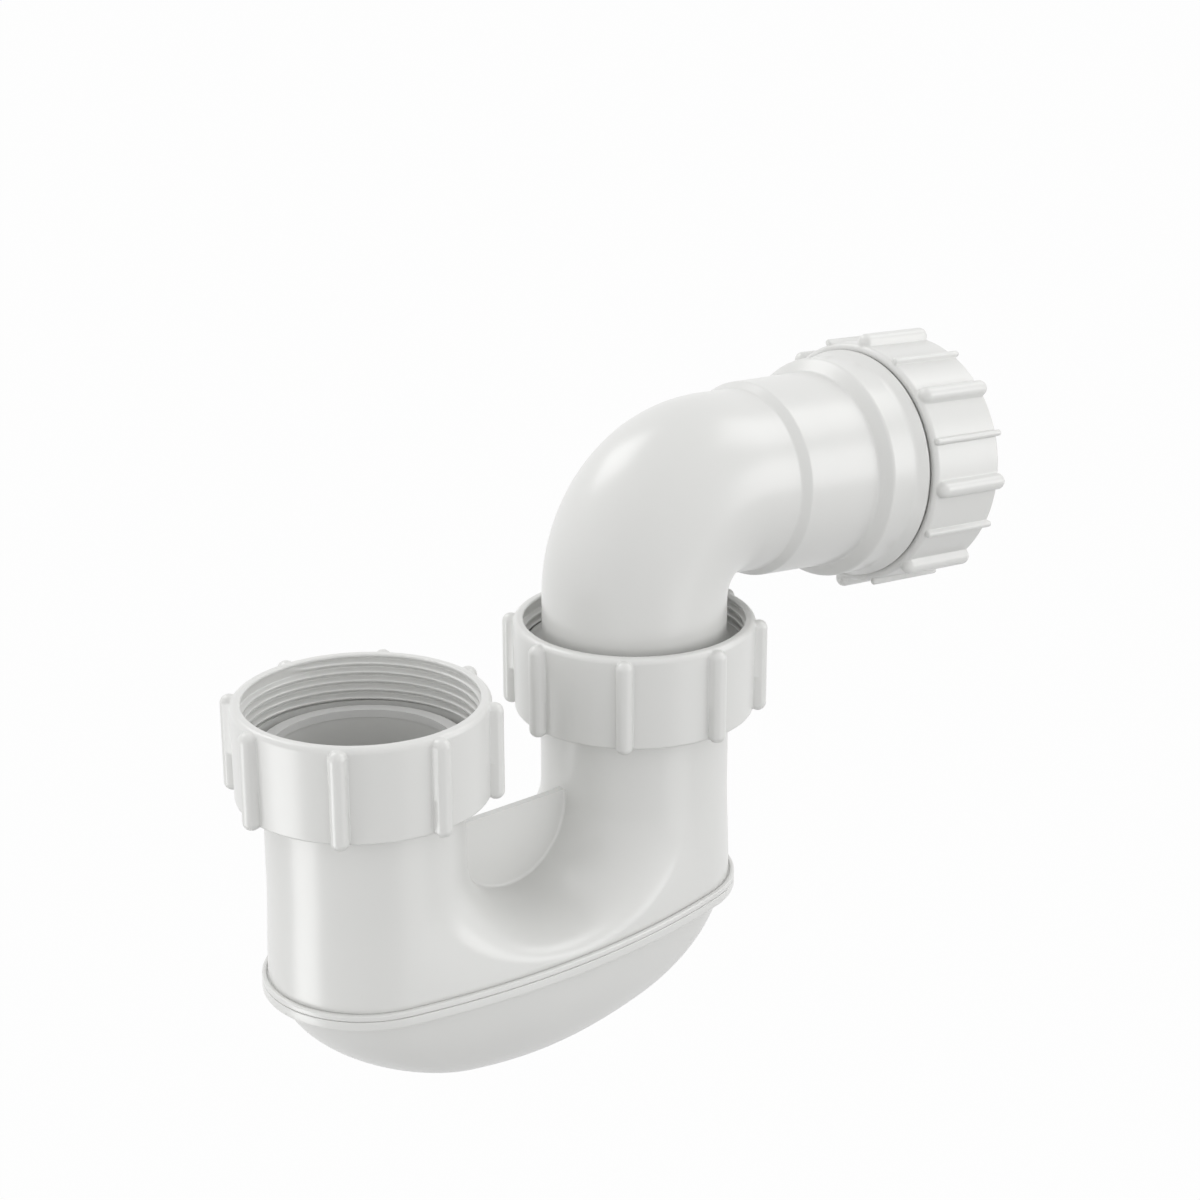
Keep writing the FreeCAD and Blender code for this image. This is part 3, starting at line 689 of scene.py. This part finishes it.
@dataclass
class TrapBody:
    """The upper moulding: two legs, the saddle that joins them, the web and the rim."""

    leg: float = 24.4
    wall: float = 2.5
    bend_level: float = -43.9
    side_drop: float = 27.1
    foot: float = -71.6
    leg_top: float = -15.2
    flange: float = 27.93
    flange_top: float = -14.3
    flange_foot: float = -16.8
    rim_inside: float = -2.2
    rim_foot: float = -72.6
    flare_from: float = -46.0
    flare_to: float = -69.0
    bore_draft: float = 0.65
    web_top: float = -41.3
    web_half: float = 1.0
    web_round: float = 0.8

    @property
    def crotch(self) -> float:
        """Gives the radius of the round space between the legs."""
        return SEAM.middle - self.leg

    def widen(self, height: Array, wide: Array, radius: float) -> Array:
        """Gives how many times wider than the leg the wall is at a height."""
        share = smooth_step(-height, -self.flare_from, -self.flare_to)
        return 1 + (wide / radius - 1) * share

    def skin(self, inset: float) -> dict[str, Array]:
        """Works out one skin of the two legs and their saddle.

        Across the trap, at turn b, y is radius * sin b. The saddle there is half an
        ellipse: it starts on the round legs, middle - radius * cos b away from the
        middle, and drops by the crotch's radius in the middle plane, and by the side
        drop at the sides. Below it the sides run straight down. The wall is then
        widened towards the oval of the seam.

        The legs' bores widen a little towards their tops.

        Args:
            inset: how far the skin lies inside the outer one.

        Returns:
            Grids of points by name.
        """
        radius = self.leg - inset
        draft = self.bore_draft if inset else 0.0
        crotch = self.crotch + inset
        bend = np.linspace(-math.pi / 2, math.pi / 2, 97)[:, None]
        turn = np.linspace(0, math.pi, 121)
        across = SEAM.middle - radius * np.cos(bend)
        down = crotch + (self.side_drop - crotch) * (1 - np.cos(bend))
        x = SEAM.middle - across * np.cos(turn)
        z = self.bend_level - down * np.sin(turn)
        y = radius * np.sin(bend) * self.widen(z, SEAM.side(x) - inset, radius)
        grids = {"saddle": np.stack([x, y, z], axis=-1)}
        share = np.linspace(0, 1, 33)[:, None]
        for sign, name in ((-1, "near_side"), (1, "far_side")):
            side_x = SEAM.middle - SEAM.middle * np.cos(turn) + 0 * share
            top = self.bend_level - self.side_drop * np.sin(turn)
            side_z = top + (self.foot - top) * share
            side_y = sign * radius * self.widen(side_z, SEAM.side(side_x) - inset, radius)
            grids[name] = np.stack([side_x, side_y, side_z], axis=-1)
        above = np.linspace(self.leg_top, self.bend_level, 24)[:, None]
        below = self.bend_level + (self.foot - self.bend_level) * share[1:]
        levels = np.concatenate([above, below])
        out = np.linspace(math.pi / 2, 3 * math.pi / 2, 97)
        opened = draft * smooth_step(levels, self.bend_level, self.leg_top)
        reach = radius * self.widen(levels, SEAM.reach(out) - inset, radius) + opened
        outer = np.stack([reach * np.cos(out), reach * np.sin(out), levels + 0 * out], axis=-1)
        inner = turned(np.concatenate([radius + opened[:len(above)], above], axis=1), bend[:, 0])
        mirror = np.array([-1, 1, 1])
        shift = np.array([SEAM.spacing, 0, 0])
        grids |= {"inlet_outer": outer, "inlet_inner": inner,
                  "riser_outer": outer * mirror + shift, "riser_inner": inner * mirror + shift}
        return grids

    def shell(self) -> bpy.types.Object:
        """Builds the legs and the saddle with their wall, the flanges and the rim."""
        moulding = Moulding("trap_moulding")
        outside, inside = self.skin(0.0), self.skin(self.wall)
        for name in outside:
            moulding.add(outside[name])
            moulding.add(inside[name])
            if name != "saddle" and not name.endswith("side"):
                moulding.bridge(outside[name][0], inside[name][0])
            if name != "saddle" and not name.endswith("inner"):
                moulding.bridge(outside[name][-1], inside[name][-1])
        bore = self.leg - self.wall + self.bore_draft
        cone_foot = self.flange_foot - (self.flange - self.leg)
        flange = rounded_path([
            (bore, self.flange_top, 0.25), (self.flange, self.flange_top, 0.3),
            (self.flange, self.flange_foot, 0.2),
            (self.leg, cone_foot), (bore + 0.9, cone_foot - 0.3),
            (bore + 0.9, self.leg_top - 0.5), (bore, self.leg_top)], closed=True, steps=3)
        for centre in (0.0, SEAM.spacing):
            moulding.add(turned(flange, whole_turn(160), centre), True, True)
        rim = rounded_path([
            (self.rim_inside, -71.2), (0.28, -71.5, 0.12), (0.62, -70.98, 0.22),
            (1.6, -71.12, 0.5), (1.6, -72.48, 0.22), (1.15, self.rim_foot),
            (self.rim_inside, self.rim_foot)], closed=True, steps=5)
        moulding.add(swept_round(rim), True, True)
        piece = moulding.finish()
        return dress(piece, Finish.GLOSS_WHITE, "trap", "white_plastic", "trap_body")

    def web(self) -> bpy.types.Object:
        """Builds the web that fills the crotch, with a hollow round where it meets it.

        A point of the web lies at a depth in from the wall round the crotch: on the
        crotch's circle it is moved towards the centre, and beside the legs it is moved
        level towards the middle. The half thickness grows by a quarter round near the
        wall.
        """
        depth = np.concatenate([[-0.8], self.web_round * (1 - np.cos(
            np.linspace(0, math.pi / 2, 9))), np.linspace(2.4, self.crotch, 12)])[:, None]
        fillet = self.web_round - np.sqrt(np.maximum(
            0, self.web_round ** 2 - (self.web_round - np.clip(depth, 0, self.web_round)) ** 2))
        half = self.web_half + fillet
        turn = np.concatenate([np.full(4, math.pi), np.linspace(math.pi, FULL, 73),
                               np.full(4, FULL)])
        rise = np.concatenate([np.linspace(self.web_top, self.bend_level, 5)[:-1],
                               np.full(73, self.bend_level),
                               np.linspace(self.bend_level, self.web_top, 5)[1:]])
        x = SEAM.middle + (self.crotch - depth) * np.cos(turn)
        z = rise + (self.crotch - depth) * np.sin(turn)
        moulding = Moulding("crotch_web")
        near = np.stack([x, -half + 0 * x, z], axis=-1)
        far = np.stack([x, half + 0 * x, z], axis=-1)
        moulding.add(near)
        moulding.add(far)
        moulding.bridge(near[:, 0], far[:, 0])
        moulding.bridge(near[:, -1], far[:, -1])
        moulding.bridge(near[0], far[0])
        return dress(moulding.finish(), Finish.GLOSS_WHITE, "trap", "white_plastic")

    def build(self) -> list[bpy.types.Object]:
        """Builds the moulding and its web."""
        return [self.shell(), self.web()]


@dataclass
class TrapBowl:
    """The lower moulding: the boat-shaped bowl and the rim by which it is welded on."""

    level: float = -73.0
    depth: float = 34.6
    half_length: float = 66.05
    half_width: float = 28.4
    long_power: float = 1.81
    cross_power: float = 2.24
    wall: float = 2.5

    def skin(self, inset: float) -> Array:
        """Works out one skin of the bowl.

        At the share f of the depth, the oval's length is the long power's root of
        1 - f ^ long power, and its width is found in the same way with the cross power.
        """
        turns = SEAM.turns()
        x, y = SEAM.around(turns, 0.0)
        x = (x - SEAM.middle) / (SEAM.middle + SEAM.end)
        y = y / SEAM.half_width
        swing = np.linspace(0, math.pi / 2, 57)[:, None]
        share = np.sin(swing) ** (2 / self.long_power)
        long = np.cos(swing) ** (2 / self.long_power)
        wide = np.maximum(0, 1 - share ** self.cross_power) ** (1 / self.cross_power)
        long[-1] = wide[-1] = 0
        z = self.level - (self.depth - inset) * share
        return np.stack([SEAM.middle + (self.half_length - inset) * long * x,
                         (self.half_width - inset) * wide * y, z + 0 * x], axis=-1)

    def build(self) -> list[bpy.types.Object]:
        """Builds the bowl's two skins and its rim."""
        moulding = Moulding("bowl_moulding")
        outside, inside = self.skin(0.0), self.skin(self.wall)
        moulding.add(outside, close_columns=True)
        moulding.add(inside, close_columns=True)
        moulding.bridge(outside[0], inside[0], closed=True)
        rim = rounded_path([
            (-3.6, -72.62), (1.05, -72.62), (1.6, -72.78, 0.2), (1.6, -75.2, 0.45),
            (-0.9, -75.2, 0.3), (-1.5, -75.9), (-3.6, -75.9)], closed=True, steps=5)
        moulding.add(swept_round(rim), True, True)
        return [dress(moulding.finish(), Finish.GLOSS_WHITE, "trap", "white_plastic",
                      "trap_bowl")]


# Swivel elbow

@dataclass
class SwivelElbow:
    """The elbow that turns on the riser, with the stepped socket of the outlet."""

    tube: float = 23.8
    wall: float = 2.5
    foot: float = -12.3
    collar: float = 28.22
    collar_top: float = -6.7
    bulge: float = 0.5

    @property
    def bend_start(self) -> float:
        """Gives the height at which the bend starts."""
        return OUTLET_HEIGHT - self.bend_reach

    @property
    def bend_reach(self) -> float:
        """Gives the length from the bend's corner to each end of its arc."""
        return BEND_RADIUS * math.tan((math.pi / 2 + OUTLET_FALL) / 2)

    @property
    def bend_length(self) -> float:
        """Gives the length of the bend's centre line."""
        return BEND_RADIUS * (math.pi / 2 + OUTLET_FALL)

    def on_outlet(self, distance: float) -> float:
        """Gives the place along the centre line of a distance from the riser axis."""
        return self.bend_length + distance - self.bend_reach

    def profile(self) -> Array:
        """Gives the closed outline of the wall, as place along the line and radius."""
        at = self.on_outlet
        foot, top = self.foot - self.bend_start, self.collar_top - self.bend_start
        bore = self.tube - self.wall
        outside = rounded_path([
            (foot, self.collar), (top, self.collar, 0.75), (top, self.tube, 3.0),
            (at(35.6), self.tube, 1.2), (at(38.0), 25.5, 1.2), (at(61.6), 25.9, 1.2),
            (at(64.0), 29.25, 1.2), (at(72.3), 29.05, 5.0), (at(75.3), 30.5, 0.5),
            (at(75.95), 30.5, 0.2), (at(75.95), 28.9), (at(77.6), 28.9),
            (at(78.0), 29.9), (at(88.0), 29.9)], steps=7)
        inside = rounded_path([
            (at(88.0), 28.75), (at(85.0), 28.15), (at(85.0), 27.3), (at(69.0), 27.3),
            (at(69.0), 24.65), (at(64.0), 24.65), (at(61.6), 23.0), (at(38.0), 23.0),
            (at(35.6), bore), (foot, bore)])
        return np.concatenate([with_longest(outside, 1.3), with_longest(inside, 2.2)])

    def swept(self, profile: Array, turns: Array) -> Array:
        """Carries the outline along the riser, the bend and the outlet.

        The centre line is straight up, then an arc of the bend's radius through 90
        degrees and the outlet's fall, then straight. At each place a ring of the
        profile's radius stands square to it. On the bend's outer side the ring is
        pushed out a little, by the squared sine of the share of the bend.
        """
        place, radius = profile[:, 0][:, None], profile[:, 1][:, None]
        bend = np.clip(place, 0, self.bend_length)
        angle = bend / BEND_RADIUS
        straight = place - bend
        line_x = (LEG_SPACING + BEND_RADIUS * (1 - np.cos(angle))
                  + straight * np.sin(angle))
        line_z = self.bend_start + BEND_RADIUS * np.sin(angle) + straight * np.cos(angle)
        push = self.bulge * np.sin(math.pi * bend / self.bend_length) ** 2
        radius = radius + push * np.maximum(0, np.cos(turns)) ** 2 * (radius > self.tube - 1)
        out, side = radius * np.cos(turns), radius * np.sin(turns)
        return np.stack([line_x - out * np.cos(angle), side,
                         line_z + out * np.sin(angle)], axis=-1)

    def build(self) -> list[bpy.types.Object]:
        """Builds the elbow as one closed shell."""
        moulding = Moulding("swivel_elbow")
        moulding.add(self.swept(self.profile(), whole_turn(176)), True, True)
        return [dress(moulding.finish(32.0), Finish.GLOSS_WHITE, "elbow", "white_plastic",
                      "elbow")]


# Studio

@dataclass(frozen=True)
class Softbox:
    """A square studio lamp that faces the trap, with angles in degrees."""

    name: str
    azimuth: float
    elevation: float
    radiance: float
    distance: float = 1.1
    side: float = 0.55

    def build(self, aim: Vector) -> bpy.types.Object:
        """Makes the lamp, whose power is its radiance times pi times its area."""
        data = bpy.data.lights.new(self.name, "AREA")
        data.shape = "SQUARE"
        data.size = self.side
        data.energy = self.radiance * math.pi * self.side ** 2
        lamp = bpy.data.objects.new(self.name, data)
        bpy.context.scene.collection.objects.link(lamp)
        turn, rise = math.radians(self.azimuth), math.radians(self.elevation)
        away = Vector((math.cos(turn) * math.cos(rise), math.sin(turn) * math.cos(rise),
                       math.sin(rise)))
        lamp.location = aim + away * self.distance
        lamp.rotation_euler = (-away).to_track_quat("-Z", "Y").to_euler()
        return lamp


@dataclass
class Studio:
    """The pale ground, the lamps, the world's light and the camera."""

    aim: tuple[float, float, float] = (0.07, 0.0, -0.03)
    ground_level: float = -0.8
    ground_half: float = 14.0
    zenith_light: float = 0.68
    horizon_light: float = 1.75
    lens: float = 81.61
    sensor: float = 36.0
    clip: tuple[float, float] = (0.02, 30.0)
    camera_place: tuple[float, float, float] = (-0.340096, -0.496460, 0.245524)
    yaw: float = 39.847
    pitch: float = -20.245
    roll: float = -0.174

    def ground(self) -> None:
        """Makes the ground, a flat sheet well below the trap, which hangs on its inlet."""
        edges = np.array([-1, 1]) * self.ground_half / MM
        x, y = np.meshgrid(edges, edges, indexing="ij")
        sheet = Moulding("ground_sheet")
        sheet.add(np.stack([x, y, 0 * x + self.ground_level / MM], axis=-1))
        piece = sheet.finish()
        piece.data.materials.append(PaleGround().material())

    def world(self) -> None:
        """Lights the trap from all round, more from the sides than from above.

        The level falls smoothly from the horizon to a little over half way up. To the
        camera and in reflections the world is plain white.
        """
        world = bpy.data.worlds.new("studio_world")
        world.use_nodes = True
        bpy.context.scene.world = world
        bench = Bench(world.node_tree)
        toward = bench.node("ShaderNodeNewGeometry", output="Incoming")
        fall = bench.node("ShaderNodeSeparateXYZ", {}, {0: toward}, "Z")
        level = fall.ramp(-0.8, 0.0, self.zenith_light, self.horizon_light)
        strength = level + bench.seen() * (1.0 - level)
        light = bench.node("ShaderNodeBackground", {}, {"Color": (1, 1, 1, 1),
                                                        "Strength": strength})
        bench.node("ShaderNodeOutputWorld", {}, {"Surface": light})

    def lamps(self) -> None:
        """Hangs the softboxes round the trap."""
        aim = Vector(self.aim)
        for box in (Softbox("left_softbox", 162, -22, 2.5),
                    Softbox("back_softbox", 105, 48, 2.1),
                    Softbox("low_softbox", -75, -22, 0.6),
                    Softbox("right_softbox", -45, 12, 1.5),
                    Softbox("high_softbox", -15, 48, 1.4)):
            box.build(aim)

    def camera(self) -> None:
        """Sets the camera from its place, yaw, pitch and roll."""
        yaw, pitch, roll = (math.radians(a) for a in (self.yaw, self.pitch, self.roll))
        ahead = Vector((math.sin(yaw) * math.cos(pitch), math.cos(yaw) * math.cos(pitch),
                        math.sin(pitch)))
        level = Vector((math.cos(yaw), -math.sin(yaw), 0))
        upright = level.cross(ahead)
        right = level * math.cos(roll) + upright * math.sin(roll)
        up = upright * math.cos(roll) - level * math.sin(roll)
        data = bpy.data.cameras.new("photo_camera")
        data.lens, data.sensor_width = self.lens, self.sensor
        data.clip_start, data.clip_end = self.clip
        camera = bpy.data.objects.new("photo_camera", data)
        bpy.context.scene.collection.objects.link(camera)
        turn = Matrix((right, up, -ahead)).transposed().to_4x4()
        camera.matrix_world = Matrix.Translation(self.camera_place) @ turn
        bpy.context.scene.camera = camera

    def build(self) -> None:
        """Sets up the whole studio."""
        bpy.context.scene.view_settings.view_transform = "Standard"
        self.ground()
        self.world()
        self.lamps()
        self.camera()


def main() -> None:
    """Builds the studio and the trap's pieces in order."""
    logging.basicConfig(level=logging.INFO, format="%(name)s: %(message)s")
    Studio().build()
    for assembly in (TrapBody(), TrapBowl(), NutSet(), SwivelElbow()):
        pieces = assembly.build()
        log.info("%s: %d pieces", type(assembly).__name__, len(pieces))
    for node in ("inlet_washer", "riser_washer"):
        dress_node(node, Finish.WASHER)
    dress_node("slip_ring", Finish.HARD_RING)
    dress_node("outlet_seal", Finish.RUBBER)


if __name__ == "__main__":
    main()
